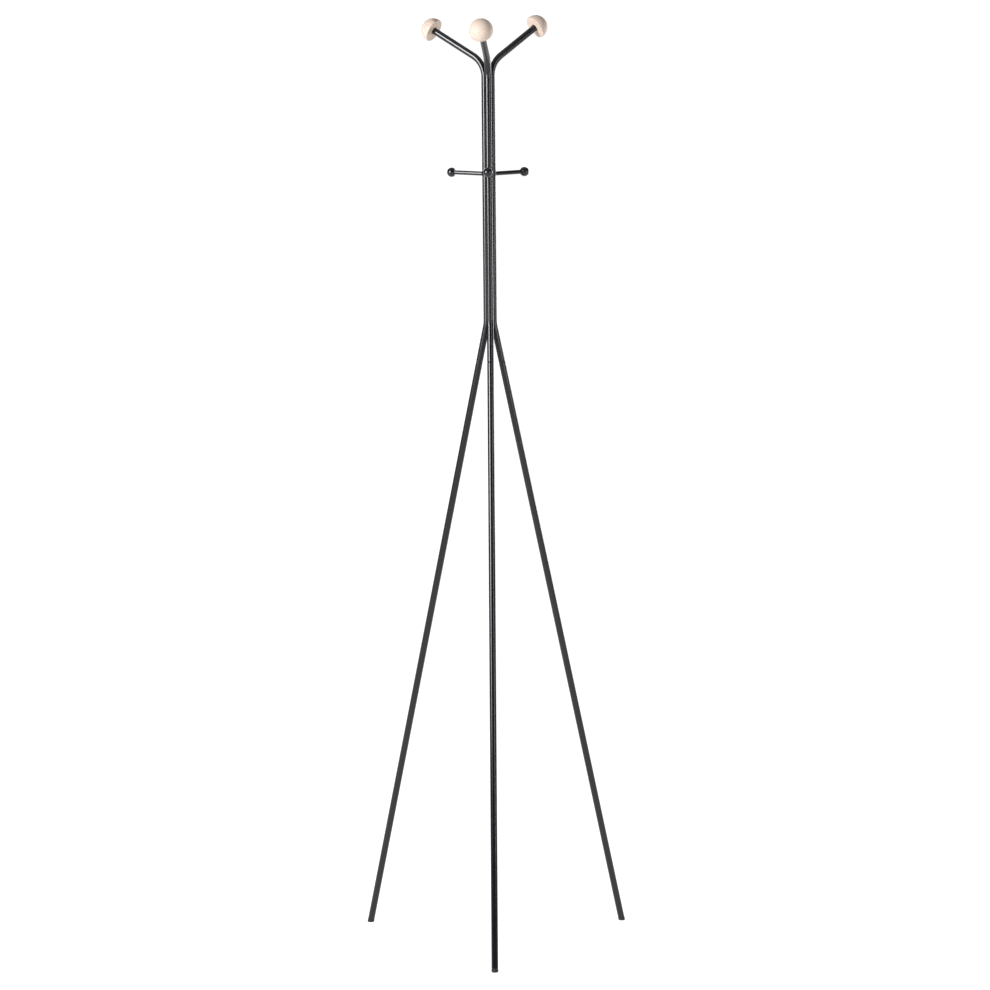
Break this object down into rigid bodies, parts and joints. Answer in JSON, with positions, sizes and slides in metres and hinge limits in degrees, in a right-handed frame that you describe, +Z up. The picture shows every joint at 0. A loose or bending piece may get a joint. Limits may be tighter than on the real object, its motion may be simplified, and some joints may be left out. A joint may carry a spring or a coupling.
{
  "type": "standing coat rack",
  "caption": "Free-standing coat rack: bent tubes joined side by side as a column spread into tripod legs below and arms with half-ball wooden knobs above, with ball-ended coat pegs between.",
  "frame": {"origin": "on the floor, in the middle of the footprint's bounding box", "axes": "+Z up along the column; the front leg, peg and arm point along -Y, and +X is to the right as seen from the front"},
  "size_m": [0.5044, 0.4387, 1.7548],
  "materials": {
    "black_steel": "semi-gloss black powder coat",
    "beech_wood": "finely sanded and left untreated",
    "plated_steel": "zinc plated",
    "insert_brass": "plain turned",
    "black_nylon": "moulded, matt"
  },
  "bodies": {
    "root": {"column_welds": "black_steel", "upper_tube_front": "black_steel", "leg_tube_front": "black_steel", "upper_bush_front": "plated_steel", "leg_bush_front": "plated_steel", "leg_stud_front": "plated_steel", "knob_front": "beech_wood", "knob_insert_front": "insert_brass", "knob_stud_front": "plated_steel", "arm_plug_front": "plated_steel", "peg_rod_front": "black_steel", "peg_ball_front": "black_steel", "peg_weld_front": "black_steel", "foot_glide_front": "black_nylon", "upper_tube_right": "black_steel", "leg_tube_right": "black_steel", "upper_bush_right": "plated_steel", "leg_bush_right": "plated_steel", "leg_stud_right": "plated_steel", "knob_right": "beech_wood", "knob_insert_right": "insert_brass", "knob_stud_right": "plated_steel", "arm_plug_right": "plated_steel", "peg_rod_right": "black_steel", "peg_ball_right": "black_steel", "peg_weld_right": "black_steel", "foot_glide_right": "black_nylon", "upper_tube_left": "black_steel", "leg_tube_left": "black_steel", "upper_bush_left": "plated_steel", "leg_bush_left": "plated_steel", "leg_stud_left": "plated_steel", "knob_left": "beech_wood", "knob_insert_left": "insert_brass", "knob_stud_left": "plated_steel", "arm_plug_left": "plated_steel", "peg_rod_left": "black_steel", "peg_ball_left": "black_steel", "peg_weld_left": "black_steel", "foot_glide_left": "black_nylon"}
  },
  "joints": []
}
